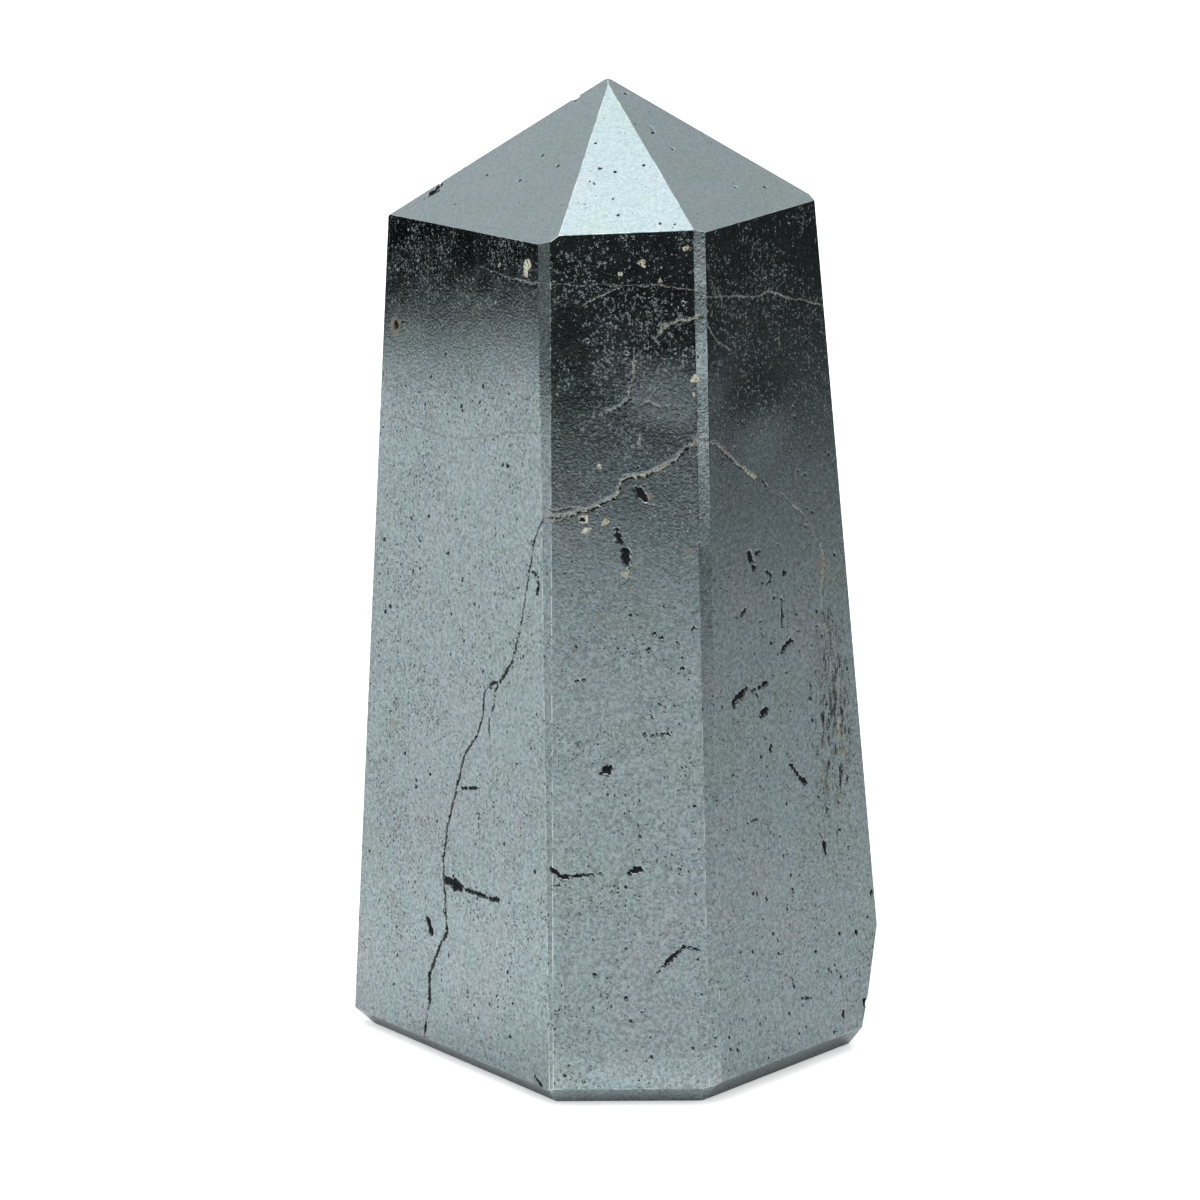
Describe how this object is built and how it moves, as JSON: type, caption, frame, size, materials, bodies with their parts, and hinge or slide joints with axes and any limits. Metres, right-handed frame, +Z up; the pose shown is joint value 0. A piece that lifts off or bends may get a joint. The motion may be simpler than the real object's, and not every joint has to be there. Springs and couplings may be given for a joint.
{
  "type": "hematite point",
  "caption": "Free-standing tapered tower ground from massive hematite, with flat side facets, a low pointed crown, bevelled base, a long fissure and pitted faces.",
  "frame": {"origin": "middle of the flat base, at the bottom centre of the bounding box", "axes": "+Z up from the base to the tip, -Y towards the narrow front face, +X to the right seen from the front"},
  "size_m": [0.0492, 0.0442, 0.0898],
  "materials": {
    "polished_hematite": "satin-polished metallic blue-grey hematite with black pits and thin tan seams"
  },
  "bodies": {
    "root": {"hematite_point": "polished_hematite"}
  },
  "joints": []
}
